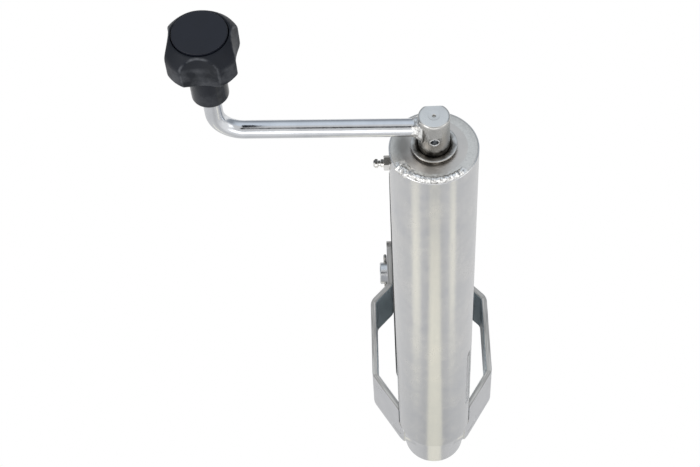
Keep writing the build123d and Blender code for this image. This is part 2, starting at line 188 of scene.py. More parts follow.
def skinned(bm, rings, loop):
    """Faces between rings of points, on to the first again in a loop, or else with flat ends."""
    steps = max(len(ring) for ring in rings)
    for one, two in zip(rings, rings[1:] + rings[:1] * loop):
        for k in range(steps if len(one) + len(two) > 2 else 0):
            n = (k + 1) % steps
            corners = one[k % len(one)], one[n % len(one)], two[n % len(two)], two[k % len(two)]
            bm.faces.new(list(dict.fromkeys(corners)))
    for ring in () if loop else (rings[0], rings[-1]):
        bm.faces.new(ring)
    bmesh.ops.recalc_face_normals(bm, faces=bm.faces)
    return bm


def lathe(profile, steps=128, radius=0.0, arc=4):
    """Turned shape round Z from closed radius and height points in mm, corners rounded."""
    points = []
    for i, (r, z) in enumerate(profile):
        here = Vector((r, z))
        a, b = Vector(profile[i - 1]) - here, Vector(profile[(i + 1) % len(profile)]) - here
        if radius <= 0 or r < 1e-6 or min(a.length, b.length) < 1e-6:
            points.append(here)
            continue
        reach = min(radius / tan(a.angle(b) / 2), a.length * 0.42, b.length * 0.42)
        start, end = here + a.normalized() * reach, here + b.normalized() * reach
        for t in (k / arc for k in range(arc + 1)):
            points.append((1 - t) ** 2 * start + 2 * t * (1 - t) * here + t ** 2 * end)
    bm = bmesh.new()
    rings = [[bm.verts.new((p.x * MM * cos(tau * k / steps), p.x * MM * sin(tau * k / steps), p.y * MM))
              for k in range(steps if p.x >= 1e-5 else 1)] for p in points]
    return skinned(bm, rings, True)


def smooth_edges(bm, angle=34):
    """Smooth faces, sharp where two meet steeply or where a wide face meets a narrow rounding."""
    for face in bm.faces:
        face.smooth = True
    for edge in bm.edges:
        if len(edge.link_faces) != 2:
            continue
        turn, areas = edge.calc_face_angle(0), sorted(face.calc_area() for face in edge.link_faces)
        edge.smooth = turn < radians(1) or (turn < radians(angle) and areas[1] < 8 * areas[0])


def as_mesh(name, bm):
    """Mesh from a shape, which is freed."""
    mesh = bpy.data.meshes.new(name)
    bm.to_mesh(mesh)
    bm.free()
    return mesh


def as_shape(mesh):
    """Shape from a mesh."""
    bm = bmesh.new()
    bm.from_mesh(mesh)
    return bm


def as_object(name, data):
    """Object in the scene from a mesh, a lamp or a camera."""
    obj = bpy.data.objects.new(name, data)
    bpy.context.scene.collection.objects.link(obj)
    return obj


def after_modifiers(obj):
    """New mesh of an object with its modifiers applied."""
    return bpy.data.meshes.new_from_object(obj.evaluated_get(bpy.context.evaluated_depsgraph_get()))


def piece(name, shape, body, material, slot, *cad_nodes, angle=34):
    """Finished piece on its body, in place of the CAD nodes that it stands for."""
    if isinstance(shape, bmesh.types.BMesh):
        smooth_edges(shape, angle)
        shape = as_mesh(name, shape)
    shape.materials.clear()
    shape.materials.append(material)
    obj = as_object(name, shape)
    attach(obj, body)
    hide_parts(*cad_nodes)


def cut(shape, *tools, how="DIFFERENCE"):
    """Takes tool shapes out of a shape, or does another Boolean operation with them."""
    held = [as_object("cut", as_mesh("cut", bm)) for bm in (shape,) + tools]
    for tool in held[1:]:
        modifier = held[0].modifiers.new("cut", "BOOLEAN")
        modifier.operation, modifier.solver, modifier.object = how, "EXACT", tool
    result = as_shape(after_modifiers(held[0]))
    for obj in held:
        bpy.data.objects.remove(obj)
    return result


def placed(bm, turn=(0, 0, 0), at=(0, 0, 0)):
    """Turns a shape by degrees about X, Y and Z and moves it by millimetres."""
    for angle, axis in zip(turn, "XYZ"):
        bmesh.ops.rotate(bm, verts=bm.verts, matrix=Matrix.Rotation(radians(angle), 3, axis))
    bmesh.ops.translate(bm, verts=bm.verts, vec=Vector(at) * MM)
    return bm


def round_bar(r, length, steps=48):
    """Plain round bar from the origin up, in mm."""
    return lathe([(0, 0), (r, 0), (r, length), (0, length)], steps)


SLOT_TURN, SLOT_LOW, SLOT_HIGH, SLOT_WIDE = -25.4, -339, -260, 6
slot_x, slot_y = cos(radians(SLOT_TURN)), sin(radians(SLOT_TURN))
barrel = lathe([(26, -389.4), (26.6, -390), (29.4, -390), (30, -389.4), (30, -0.5), (29.5, 0.0),
                (26, -3.4)], 192, 0.25, 3)
slot_ends = [placed(round_bar(SLOT_WIDE / 2, 20), (0, 90, SLOT_TURN), (22 * slot_x, 22 * slot_y, z))
             for z in (SLOT_LOW, SLOT_HIGH)]
middle = bmesh.new()
bmesh.ops.create_cube(middle, size=MM)
bmesh.ops.scale(middle, vec=(20, SLOT_WIDE, SLOT_HIGH - SLOT_LOW), verts=middle.verts)
placed(middle, (0, 0, SLOT_TURN), (32 * slot_x, 32 * slot_y, (SLOT_LOW + SLOT_HIGH) / 2))
nipple_hole = placed(round_bar(4, 20), (0, -90, 0), (-20, 0, -16))
# The tube carries a painted highlight inside its slot.
zinc_tube = plated_steel("zinc_tube", (0.735, 0.73, 0.72), (0.57, 0.58, 0.605), 0.20, 0.06, 0.34,
                         foot=(-0.16, -0.40), painted_slot_highlight=(0.0296, -0.343, -0.257))
piece("barrel", cut(barrel, *slot_ends, middle, nipple_hole), "barrel", zinc_tube,
      "zinc_steel", "outer_tube")


# Top cap
# A turned disc sits in the mouth of the barrel, with a low lip round its bore. It is welded all
# round, dressed flush at the sides and left as a raised bead in front.

# A painted dark reflection of the crank arm lies on the cap and weld left of the boss: its centre in metres and its
# colour.
ARM_REFLECTION_AT, ARM_REFLECTION_COLOUR = (-0.0205, 0.002), (0.19, 0.18, 0.165)


def painted_arm_reflection(place):
    """How strong the painted dark reflection of the crank arm is, left of the boss: an oval 19 mm wide and 34 mm
    long.
    """
    off = vector_math("SUBTRACT", place, (*ARM_REFLECTION_AT, 0))[0]
    off = vector_math("MULTIPLY", off, (1 / 0.0095, 1 / 0.017, 0))[0]
    return span(vector_math("LENGTH", off)["Value"], 0.2, 1.0, 0.82, 0.0, True)


def line_noise(along, scale):
    """Noise along one value."""
    return add(along.id_data, "TexNoise", {"W": along, "Scale": scale, "Detail": 3.0},
               noise_dimensions="1D").outputs["Fac"]


def turned_steel(name, light, dark, rough, rings=0.3, grease_and_shade=None, arm_reflection=False, grain=0.3, foot=None,
                 sides=1.0):
    """Zinc over turning marks that run round Z. It can have a dark greasy smear below a height in metres,
    and another between two radii, which on the cap also gives painted shade under the collar's flange,
    the painted dark reflection of the crank arm, and painted shade on its upright sides."""
    mat, tree, place = blank_material(name)
    radius = from_axis(place)
    lines = line_noise(radius, 2600.0)
    cloud = noise(place, 60, 4)
    fine = noise(place, 1300, 3)
    colour = blend_colour(span(cloud, 0.35, 0.68), dark, light)
    # Painted shade: faces that stand upright are darkened towards near black, by one less the sides value.
    upright = parts(add(tree, "TexCoord").outputs["Normal"])["Z"]
    dull = times(span(upright, 0.5, 0.95, 1.0, 0.0), 1 - sides)
    colour = blend_colour(dull, colour, (0.05, 0.05, 0.05))
    shine = span(cloud, 0.3, 0.7, rough - 0.05, rough + 0.08)
    # Painted dark reflection of the crank arm, left of the boss.
    if arm_reflection:
        colour = blend_colour(painted_arm_reflection(place), colour, ARM_REFLECTION_COLOUR)
    films = []
    # A dark greasy smear between two radii; on the cap it also stands for painted shade under the collar's flange.
    if grease_and_shade:
        films.append((radius, 260, 0.0012, grease_and_shade, (0.42, 0.62), (0.085, 0.078, 0.07), (0.30, 0.285, 0.26)))
    if foot:
        films.append((parts(place)["Z"], 300, 0.001, (foot - 0.0004, foot + 0.0006), (0.40, 0.66),
                      (0.045, 0.042, 0.04), (0.22, 0.21, 0.19)))
    for along, scale, ragged, fade, patches, black, brown in films:
        edge = math("ADD", along, span(noise(place, scale, 4), 0.3, 0.7, -ragged, ragged))
        film = span(edge, *fade, 1.0, 0.0, True)
        smear = blend_colour(span(noise(place, 190, 4), *patches), black, brown)
        colour = blend_colour(film, colour, smear)
        shine = mix(film, shine, 0.42)
    coat(colour, shine, (lines, rings, 0.00008), (fine, grain, 0.0001))
    return mat


cap = lathe([(15.9, -11.4), (25.9, -11.4), (25.9, -3.4), (22.9, 0.3), (22.3, 0.62), (20.0, 0.7), (13.2, 0.7),
             (13.0, 0.5), (13.0, -2.6), (15.9, -2.8)], 128, 0.2, 3)
# On the cap the dark ring under the collar's flange is partly greasy smear and partly painted shade, and the patch
# left of the boss is a painted reflection.
zinc_cap = turned_steel("zinc_cap", (0.66, 0.62, 0.575), (0.55, 0.52, 0.485), 0.34, 0.12,
                        (0.0133, 0.0143), arm_reflection=True)
piece("cap_plate", cap, "barrel", zinc_cap, "zinc_steel", "top_cap")


# Cap weld
# One run of MIG weld fills the groove between cap and barrel. It is ground low at the sides and
# back, while the part in front stands proud with its ripples, and with clots where it starts.

def grow(shape, tree, angle=34, **inputs):
    """Runs a Geometry Nodes tree on a shape, with its inputs by name, and returns a plain mesh."""
    smooth_edges(shape, angle)
    obj = as_object("grow", as_mesh("grow", shape))
    modifier = obj.modifiers.new("grow", "NODES")
    modifier.node_group = tree
    sockets = {s.name: s.identifier for s in tree.interface.items_tree if s.item_type == "SOCKET"}
    for key, value in inputs.items():
        modifier[sockets[key.replace("_", " ")]] = value
    result = after_modifiers(obj)
    obj.modifiers.remove(modifier)
    bpy.data.objects.remove(obj)
    return result


def new_tree(name, **inputs):
    """Geometry Nodes tree with a geometry in and out and named number inputs."""
    tree = bpy.data.node_groups.new(name, "GeometryNodeTree")
    for way in ("INPUT", "OUTPUT"):
        tree.interface.new_socket("Geometry", in_out=way, socket_type="NodeSocketGeometry")
    for key, value in inputs.items():
        kind = "NodeSocketInt" if isinstance(value, int) else "NodeSocketFloat"
        socket = tree.interface.new_socket(key.replace("_", " "), in_out="INPUT", socket_type=kind)
        socket.default_value = value
    return tree, tree.nodes.new("NodeGroupInput").outputs


def step(tree, kind, values=None, **settings):
    """Output of one step of a Geometry Nodes tree."""
    return add(tree, "GeometryNode" + kind, values, **settings).outputs[0]


def together(*geometries):
    """Several geometries as one."""
    node = add(geometries[0].id_data, "GeometryNodeJoinGeometry")
    for geometry in geometries:
        node.id_data.links.new(geometry, node.inputs[0])
    return node.outputs[0]


def shifted(geometry, move):
    """A geometry moved by a vector in metres."""
    return step(geometry.id_data, "Transform", {"Geometry": geometry, "Translation": move})


def end_tree(geometry, material):
    """Closes a tree with Realize Instances and Set Material."""
    tree = geometry.id_data
    real = step(tree, "RealizeInstances", {"Geometry": geometry})
    last = step(tree, "SetMaterial", {"Geometry": real, "Material": material})
    tree.links.new(last, tree.nodes.new("NodeGroupOutput").inputs[0])


def weld_metal(name, light, dark, rough, raw_part=None):
    """Plated weld metal: bright crests, dull and dark in the hollows between ripples. Outside two
    angles round Z it can be ground smooth, in an even grey with the painted dark reflection of the
    crank arm. Between them a painted shadow runs along the bead's inner foot."""
    mat, tree, place = blank_material(name)
    soot = noise(place, 420, 4, None, 0.65)
    crust = noise(place, 900, 4, None, 0.6)
    colour = blend_colour(span(soot, 0.33, 0.52), dark, light)
    shine = span(soot, 0.35, 0.65, rough + 0.2, rough)
    strength = 0.6
    if raw_part:
        start, end = raw_part
        flat = parts(place)
        turn = math("ADD", math("ARCTAN2", flat["Y"], flat["X"]),
                    span(soot, 0.3, 0.7, -0.08, 0.08))
        raw = times(span(turn, start, start + 0.1), span(turn, end - 0.1, end, 1.0, 0.0))
        band = math("ADD", from_axis(place), span(soot, 0.3, 0.7, -0.0005, 0.0005))
        # Painted shadow: a dark ragged line along the inner foot of the proud bead.
        inner_line = math("SUBTRACT", span(band, 0.0243, 0.0248), span(band, 0.0253, 0.0260))
        painted_shadow_line = times(raw, inner_line, span(noise(place, 110, 3), 0.42, 0.56))
        raw = times(raw, span(band, 0.0252, 0.0256))
        even = blend_colour(span(crust, 0.35, 0.65), (0.60, 0.58, 0.54), (0.725, 0.70, 0.655))
        # The even grey also takes the painted dark reflection of the crank arm.
        even = blend_colour(painted_arm_reflection(place), even, ARM_REFLECTION_COLOUR)
        colour = blend_colour(raw, even, colour)
        colour = blend_colour(painted_shadow_line, colour, (0.07, 0.068, 0.065))
        shine = mix(raw, 0.36, shine)
        strength = mix(raw, 0.12, 0.42)
    coat(colour, shine, (crust, strength, 0.0003))
    return mat


def angle_round(tree):
    """Angle of each point round Z in a Geometry Nodes tree."""
    spot = parts(step(tree, "InputPosition"))
    return math("ARCTAN2", spot["Y"], spot["X"])


bead_steel = weld_metal("bead_steel", (0.92, 0.92, 0.91), (0.30, 0.29, 0.275), 0.22, (-2.72, -0.74))
fillet_steel = weld_metal("fillet_steel", (0.80, 0.80, 0.79), (0.30, 0.29, 0.28), 0.24)
tree, given = new_tree("weld run", Ring_radius=0.0272, Bead_radius=0.0022, Low_radius=0.0001,
                       Ripple=0.0005, Pitch=0.0019, Sag=0.0011, Pull=0.0006)

# The bead's radius along the run: low where it is ground, rippled in front, fat where it starts.
ring = step(tree, "CurvePrimitiveCircle", {"Resolution": 900, "Radius": given["Ring radius"]})
section = step(tree, "CurvePrimitiveCircle", {"Resolution": 20, "Radius": 1.0})
angle = angle_round(tree)
rise = span(angle, -2.70, -2.56, 0.0, 1.0, True)
front = times(rise, span(angle, -0.92, -0.78, 1.0, 0.0, True))
wave = math("DIVIDE", times(angle, given["Ring radius"]), given["Pitch"])
wave = math("PINGPONG", wave, 1.0)
uneven = line_noise(times(angle, 7.0), 3.0)
size = times(math("SUBTRACT", given["Bead radius"], given["Low radius"]), front)
size = math("ADD", size, given["Low radius"])
size = times(size, span(uneven, 0.25, 0.75, 0.8, 1.12))
size = math("ADD", size, times(wave, given["Ripple"], front))
start = times(rise, span(angle, -2.42, -2.18, 1.0, 0.0, True))
size = times(size, mix(start, 1.0, 1.22))
sag = vector(times(math("COSINE", angle), given["Pull"]),
             times(math("SINE", angle), given["Pull"]), times(given["Sag"], -1.0))
circle = step(tree, "SetPosition", {"Geometry": ring, "Offset": vector_math("MULTIPLY", sag, start)[0]})
run = step(tree, "CurveToMesh", {"Curve": circle, "Profile Curve": section, "Scale": size})
both = together(given["Geometry"], shifted(run, (0, 0, 0.0001)))

# Lumps on all of it, and clots where the run starts.
lumps = add(tree, "TexNoise", {"Scale": 520.0, "Detail": 3.0, "Roughness": 0.6}).outputs["Fac"]
big = add(tree, "TexNoise", {"Scale": 300.0, "Detail": 1.0}).outputs["Fac"]
angle = angle_round(tree)
proud = times(span(angle, -2.75, -2.5, 0.12, 1.0, True), span(angle, -0.95, -0.7, 1.0, 0.12, True))
clotted = times(span(angle, -2.72, -2.55), span(angle, -2.38, -2.15, 1.0, 0.0))
lift = math("ADD", times(span(lumps, 0.25, 0.75, -0.00014, 0.00020), proud),
            times(span(big, 0.35, 0.65, -0.0006, 0.0007), clotted))
out = vector_math("MULTIPLY", step(tree, "InputNormal"), lift)[0]
end_tree(step(tree, "SetPosition", {"Geometry": both, "Offset": out}), bead_steel)

filler = lathe([(22.2, 0.2), (25.9, -3.3), (26.1, -3.3), (29.4, -0.25)]
               + [(29.1 - 0.75 * k, 0.05 + 0.54 * sin(pi / 2 * k / 8)) for k in range(9)] + [(22.2, 0.6)], 300)
bead = grow(filler, tree, 60, Ripple=0.0006)
for face in bead.polygons:
    face.use_smooth = True
piece("cap_bead", bead, "barrel", bead_steel, "weld_steel", "cap_weld")


# Collar bush
# A turned bush in the cap carries the spindle. It has a thin rounded flange on a narrower neck,
# round a recess that is packed with grease, black with dust, at the foot of the crank boss.

collar = lathe([(10.1, -11.4), (15.75, -11.4), (15.75, -3.0), (12.9, -3.0), (12.9, 3.1), (15.5, 3.2),
                (15.5, 4.3), (14.8, 4.45), (12.4, 4.1), (11.2, 3.5), (10.7, 2.5), (10.7, 0.3), (10.1, 0.1)],
               128, 0.45, 5)
greased_collar = turned_steel("greased_collar", (0.66, 0.65, 0.63), (0.44, 0.43, 0.41), 0.27, 0.2,
                              (0.0120, 0.0152))
piece("collar_rim", collar, "barrel", greased_collar, "bolt_zinc", "collar_bush")


# Grease nipple
# A small hexagon nipple with a round hydraulic head screws into the barrel below the cap. It is
# machined from free cutting steel and bright plated.

def machined(name, colour, rough, marks=0.25, dirt=0.35):
    """Bright plated machined steel with dirt that settles in soft patches."""
    mat, tree, place = blank_material(name)
    patches = noise(place, 160, 4)
    scratch = noise(place, 1700, 3)
    dull = tuple(c * (1 - dirt) for c in colour)
    shade = blend_colour(span(patches, 0.35, 0.62), dull, colour)
    coat(shade, span(patches, 0.3, 0.7, rough + 0.08, rough - 0.03), (scratch, marks, 0.0001))
    return mat


def surface_of(mat):
    """Tree and surface node of a finished material."""
    return mat.node_tree, next(node for node in mat.node_tree.nodes if node.type == "BSDF_PRINCIPLED")


def paint(mat, factor, colour):
    """Lays a colour over the one that a material has."""
    tree, skin = surface_of(mat)
    base = skin.inputs["Base Color"]
    tree.links.new(blend_colour(factor, base.links[0].from_socket, colour), base)


def joined(*shapes):
    """Several shapes as one, each left as it is."""
    whole = bmesh.new()
    for bm in shapes:
        whole.from_mesh(as_mesh("part", bm))
    return whole


HEX_FLAT, HEX_CORNER, HEX_HIGH = 4.5, 9 / sqrt(3), 3.7
prism = placed(lathe([(0, 0), (HEX_CORNER, 0), (HEX_CORNER, HEX_HIGH), (0, HEX_HIGH)], 6), (0, 0, 30))
chamfered = lathe([(0, 0), (HEX_CORNER, 0), (HEX_CORNER + 0.1, 0), (HEX_CORNER + 0.1, HEX_HIGH - 0.5),
                   (HEX_FLAT * 0.97, HEX_HIGH), (0, HEX_HIGH)], 96)
nipple_hex = placed(cut(prism, chamfered, how="INTERSECT"), (0, 0, 30))
nipple_head = lathe([(0, 3.6), (2.7, 3.6), (2.7, 5.4), (1.9, 6.0), (1.9, 7.1), (2.95, 7.7), (3.0, 9.3), (2.1, 10.4),
                     (1.0, 10.65), (0.5, 10.3), (0, 10.3)], 64, 0.25, 3)
nipple_thread = lathe([(0, -4), (3.9, -4), (3.9, 0.1), (0, 0.1)], 48)
nipple = placed(joined(nipple_hex, nipple_head, nipple_thread), (0, -90, 0))
bright_nipple = machined("bright_nipple", (0.94, 0.93, 0.91), 0.2, 0.15, 0.2)
# Painted reflection: faces that look up are darkened, standing in for the dark things that the upper facets of the
# hexagon mirror.
upward = parts(add(bright_nipple.node_tree, "TexCoord").outputs["Normal"])["Z"]
paint(bright_nipple, span(upward, 0.60, 0.78), (0.15, 0.145, 0.135))
piece("nipple", placed(nipple, (-8.5, 0, 0), (-30, 0, -16)), "barrel", bright_nipple, "bolt_zinc",
      "grease_nipple")


# Thrust bearing
# Ten balls in a flat cage run between two ground washers under the cap. They take the trailer's
# load from the spindle.

def rounded(bm, width, angle=40):
    """Rounds the sharp edges of a shape by a width in mm."""
    sharp = [e for e in bm.edges if len(e.link_faces) == 2 and e.calc_face_angle(0) > radians(angle)]
    bmesh.ops.bevel(bm, geom=sharp, offset=width * MM, offset_type="OFFSET", segments=2,
                    profile=0.5, affect="EDGES", clamp_overlap=True)
    return bm


def dressed(node, name, material, slot, width):
    """Copy of a CAD node in its place and on its body, in whole faces and with rounded edges."""
    bm = as_shape(frame["nodes"][node].data)
    bmesh.ops.remove_doubles(bm, verts=bm.verts, dist=2e-6)
    bmesh.ops.dissolve_limit(bm, angle_limit=radians(0.5), verts=bm.verts, edges=bm.edges)
    piece(name, rounded(bm, width), frame["nodes"][node]["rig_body"], material, slot, node)


ground_steel = machined("ground_steel", (0.72, 0.72, 0.71), 0.12, 0.05, 0.15)
tree, given = new_tree("balls in a ring", Ring_radius=0.01375, Ball_radius=0.0026, Height=-0.0165, Count=10)
spots = step(tree, "MeshCircle", {"Vertices": given["Count"], "Radius": given["Ring radius"]})
ball = step(tree, "MeshUVSphere", {"Segments": 28, "Rings": 14, "Radius": given["Ball radius"]})
balls = step(tree, "InstanceOnPoints", {"Points": spots, "Instance": ball})
end_tree(together(given["Geometry"], shifted(balls, vector(z=given["Height"]))), ground_steel)
cage = lathe([(11.8, -17.0), (15.7, -17.0), (15.7, -16.0), (11.8, -16.0)], 96, 0.2, 2)
ball_ring = grow(cage, tree, Count=10)
for face in ball_ring.polygons:
    face.use_smooth = True
piece("balls", ball_ring, "barrel", ground_steel, "bearing_steel", "ball_set")
dressed("upper_race", "washer_over_balls", ground_steel, "bearing_steel", 0.2)
dressed("lower_race", "washer_under_balls", ground_steel, "bearing_steel", 0.2)


# Guide liner
# A thin sleeve of natural nylon is pressed into the mouth of the barrel. It keeps the inner tube
# from rattling as it slides.

def moulded(name, colour, rough, grain=0.15, scale=1400, specular=0.5):
    """Moulded plastic: even colour, faint clouds in its gloss and a fine eroded texture."""
    mat, tree, place = blank_material(name)
    cloud = noise(place, 55, 4)
    pits = noise(place, scale, 3)
    shade = blend_colour(span(cloud, 0.3, 0.7), tuple(c * 0.82 for c in colour),
                         tuple(c * 1.15 for c in colour))
    coat(shade, span(cloud, 0.3, 0.7, rough - 0.05, rough + 0.06), (pits, grain, 0.00012),
         metal=0.0, specular=specular)
    return mat


natural_nylon = moulded("natural_nylon", (0.62, 0.58, 0.48), 0.4)
dressed("guide_liner", "mouth_liner", natural_nylon, "guide_plastic", 0.15)


# Spindle
# The screw has a 20 mm trapezoid thread of 4 mm pitch. Its flange hangs on the bearing, the top
# stub is drilled for the crank's pin, and a washer and a cross pin stop the nut at the lower end.

PIN_HEIGHT, PIN_HOLE_R = 18.3, 3.5
greased_screw = machined("greased_screw", (0.30, 0.29, 0.27), 0.3, 0.3, 0.5)
tree, given = new_tree("screw thread", Root_radius=0.0074, Depth=0.0022, Pitch=0.004, Top=-0.030, Turns=85)
length = times(given["Turns"], given["Pitch"])
spiral = step(tree, "CurveSpiral", {"Resolution": 40, "Rotations": given["Turns"], "Height": length,
                                    "Start Radius": given["Root radius"], "End Radius": given["Root radius"]})
upright = step(tree, "SetCurveNormal", {"Curve": spiral}, mode="Z_UP")
tooth = step(tree, "CurvePrimitiveQuadrilateral",
             {"Bottom Width": 0.0028, "Top Width": 0.0015, "Height": times(given["Depth"], 2.0), "Offset": 0.0},
             mode="TRAPEZOID")
teeth = step(tree, "CurveToMesh", {"Curve": upright, "Profile Curve": tooth})
hung = shifted(teeth, vector(z=math("SUBTRACT", given["Top"], length)))
end_tree(together(given["Geometry"], hung), greased_screw)
core = lathe([(0, -383.9), (5.4, -383.9), (6, -383.4), (6, -374), (7.6, -374), (7.6, -27.4), (17.1, -27.2),
              (17.1, -21.6), (9.9, -21.4), (9.9, 0.0), (7.9, 0.2), (7.9, 26.4), (7.0, 27.4), (0, 27.4)], 64, 0.3, 2)
drilled = cut(core, placed(round_bar(PIN_HOLE_R, 40, 32), (90, 0, 0), (0, 20, PIN_HEIGHT)),
              placed(round_bar(2, 40, 24), (0, 90, 0), (-20, 0, -380)))
piece("screw_spindle", grow(drilled, tree, Turns=85), "crank", greased_screw, "machined_steel", "spindle")
bolt_plate = machined("bolt_plate", (0.60, 0.59, 0.56), 0.27, 0.3, 0.3)
blued_spring = machined("blued_spring", (0.20, 0.20, 0.21), 0.28, 0.3, 0.4)
dressed("end_washer", "spindle_washer", bolt_plate, "bolt_zinc", 0.3)
dressed("end_pin", "cross_pin", blued_spring, "spring_steel", 0.2)


# Crank boss
# The boss is cut from round bar, with a flat milled behind and a leaning one in front, and the
# lathe's centre mark left on top. It is pinned to the spindle and zinc plated with the crank.

boss = lathe([(0, 0.4), (10.5, 0.4), (10.5, 34.2), (4.0, 34.2), (3.7, 34.1), (1.0, 33.9), (0.7, 32.4), (0, 32.4)],
             128, 2.0, 6)
MILL_HALF = 20 / sqrt(2)
back = placed(lathe([(0, 28.6), (20, 28.6), (20, 60), (0, 60)], 4), (0, 0, 45), (0, 7.7 + MILL_HALF, 0))
front = placed(lathe([(0, -12), (20, -12), (20, 0), (0, 0)], 4), (0, 0, 45), (0, -MILL_HALF, 0))
front = placed(placed(front, (-5.0, 0, 0)), at=(0, -9.5, 31.2))
boss = cut(boss, back, front, placed(round_bar(PIN_HOLE_R, 40), (90, 0, 0), (0, 20, PIN_HEIGHT)))
# The boss's upright sides get painted shade.
zinc_boss = turned_steel("zinc_boss", (0.71, 0.705, 0.68), (0.62, 0.615, 0.60), 0.24, 0.06, grain=0.12,
                         foot=0.0080, sides=0.72)
piece("boss", rounded(boss, 0.25, 50), "crank", zinc_boss, "zinc_steel", "crank_boss")


# Crank bar
# The arm is 12 mm round bar, cold bent up at its end and bright zinc plated. Its long end is
# welded to the boss, and the short one carries the knob.

def swept(points, r, steps=48):
    """Round bar that follows points in mm, with its frame carried along the bends."""
    bm = bmesh.new()
    rings, side = [], Vector((0, 1, 0))
    for i, p in enumerate(points):
        ahead = (points[min(i + 1, len(points) - 1)] - points[max(i - 1, 0)]).normalized()
        side = (side - ahead * side.dot(ahead)).normalized()
        up = ahead.cross(side)
        rings.append([bm.verts.new((p + (side * cos(tau * k / steps) + up * sin(tau * k / steps)) * r) * MM)
                      for k in range(steps)])
    return skinned(bm, rings, False)


CRANK_TURN, ARM, ARM_Z, BEND, ARM_TOP = -1.9, 141.3, 21.6, 18.0, 110.0
out_way = Vector((-cos(radians(CRANK_TURN)), -sin(radians(CRANK_TURN)), 0))
rise = ARM_TOP - ARM_Z - BEND
route = [out_way * (9.9 + 2.0 * k) for k in range(57)] + [
    out_way * (ARM - BEND + BEND * sin(t)) + Vector((0, 0, BEND * (1 - cos(t))))
    for t in (pi / 2 * k / 20 for k in range(21))] + [
    out_way * ARM + Vector((0, 0, BEND + rise * k / 20)) for k in range(1, 21)]
route = [p + Vector((0, 0, ARM_Z)) for p in route]
bright_bar = plated_steel("bright_bar", (0.72, 0.735, 0.76), (0.57, 0.585, 0.615), 0.15, 0.12, 0.12, (0.02, 1, 1))
piece("arm", rounded(swept(route, 6.0), 0.7, 60), "crank", bright_bar, "zinc_steel", "crank_bar")


# Crank weld
# A fillet of weld runs round the bar where it meets the boss. It is left as it was laid, lumpy,
# and plated over.

fillet = lathe([(0, 7.0)] + [(5.9 + 4.2 * (1 - t) ** 1.6, 7.6 + 7.0 * t) for t in (k / 16 for k in range(17))]
               + [(0, 14.8)], 96)
LUMP_DEEP, LUMP_WIDE = 0.5, 2.6
fillet.normal_update()
for v in fillet.verts:
    lump = field.fractal(v.co / MM / LUMP_WIDE + Vector((3, 0, 0)), 0.7, 2.0, 3)
    v.co += v.normal * lump * LUMP_DEEP * MM
piece("arm_weld", placed(fillet, (0, -90, CRANK_TURN), (0, 0, ARM_Z)), "crank", fillet_steel, "weld_steel",
      "crank_weld", angle=70)


# Spring pin
# A pin rolled from spring steel locks the boss to the spindle. Its seam is open, so that it
# springs against the hole.

pin = cut(lathe([(2.65, -10.35), (3.48, -10.35), (3.48, 10.35), (2.65, 10.35)], 64, 0.3, 3),
          placed(round_bar(0.5, 30, 12), at=(0, 2.9, -15)))
bright_pin = machined("bright_pin", (0.86, 0.87, 0.88), 0.2, 0.1, 0.15)
piece("boss_pin", placed(pin, (90, 0, 0), (0, 0, PIN_HEIGHT)), "crank", bright_pin, "spring_steel", "spring_pin")


# Knob
# A four lobed knob is moulded in black nylon on a long sleeve. It turns freely on the bar, and
# a plain disc pressed into its top hides the clip that holds it.

KNOB_AT, LOBE_STEPS = out_way * ARM, 192
LOBES_ABOVE, LOBES_OUTSIDE, WEAR_ABOVE, WEAR_WIDE = 90.5, 17, 93, 1.1
SCOOP_AWAY, SCOOP_R, FAR_OUT = 51.2, 31.7, 200
HEAD = [(11.0, 59.5), (12.0, 60.5), (12.0, 86.5), (12.6, 88.8), (15.0, 91.4), (18.0, 92.0), (22.6, 92.0),
        (24.0, 92.5), (24.9, 94.0), (25.0, 97.0), (25.0, 107.6), (24.7, 109.6), (23.8, 111.6), (22.0, 114.0),
        (20.4, 115.9), (18.9, 117.4), (18.15, 117.5)]
BORE = [(17.85, 117.2), (17.8, 113.1), (11.2, 113.0), (11.0, 105.6), (6.15, 105.4), (6.15, 59.6), (6.4, 59.5)]


def soft_min(a, b, k):
    """Smaller of two values with a rounded change between them."""
    h = max(k - abs(a - b), 0) / k
    return min(a, b) - h * h * k / 4


def knob_radius(r, turn):
    """Radius of the head at an angle: the turned shape, cut by the nearest of four scallops."""
    a = (turn + pi / 4) % (pi / 2) - pi / 4
    inside = SCOOP_R ** 2 - (SCOOP_AWAY * sin(a)) ** 2
    return r if inside <= 0 else soft_min(r, SCOOP_AWAY * cos(a) - sqrt(inside), 1.1)


fine_profile = []
for (r0, z0), (r1, z1) in zip(HEAD, HEAD[1:]):
    cuts = max(1, ceil(hypot(r1 - r0, z1 - z0) / 0.8))
    fine_profile += [(r0 + (r1 - r0) * k / cuts, z0 + (z1 - z0) * k / cuts) for k in range(cuts)]
grip = bmesh.new()
worn = grip.verts.layers.float.new("worn")
rings = []
for r, z in fine_profile + HEAD[-1:] + BORE:
    ring = []
    for t in (tau * k / LOBE_STEPS for k in range(LOBE_STEPS)):
        scooped = z > LOBES_ABOVE and r > LOBES_OUTSIDE
        out = (knob_radius(r, t) if scooped else r) * MM
        ring.append(grip.verts.new((out * cos(t), out * sin(t), z * MM)))
        edge = max(0.0, 1 - abs(r - knob_radius(FAR_OUT, t)) / WEAR_WIDE)
        ring[-1][worn] = edge if scooped and z > WEAR_ABOVE else 0.0
    rings.append(ring)
skinned(grip, rings, True)
black_nylon = moulded("black_nylon", (0.012, 0.0148, 0.0215), 0.50, 0.35, 1500, 0.18)
tree, skin = surface_of(black_nylon)
place = add(tree, "TexCoord").outputs["Object"]
height = parts(place)["Z"]
rubbed = times(add(tree, "Attribute", attribute_name="worn").outputs["Fac"],
               span(noise(place, 150, 4), 0.36, 0.60))
sleeve = span(height, 0.0885, 0.0895, 1.0, 0.0)
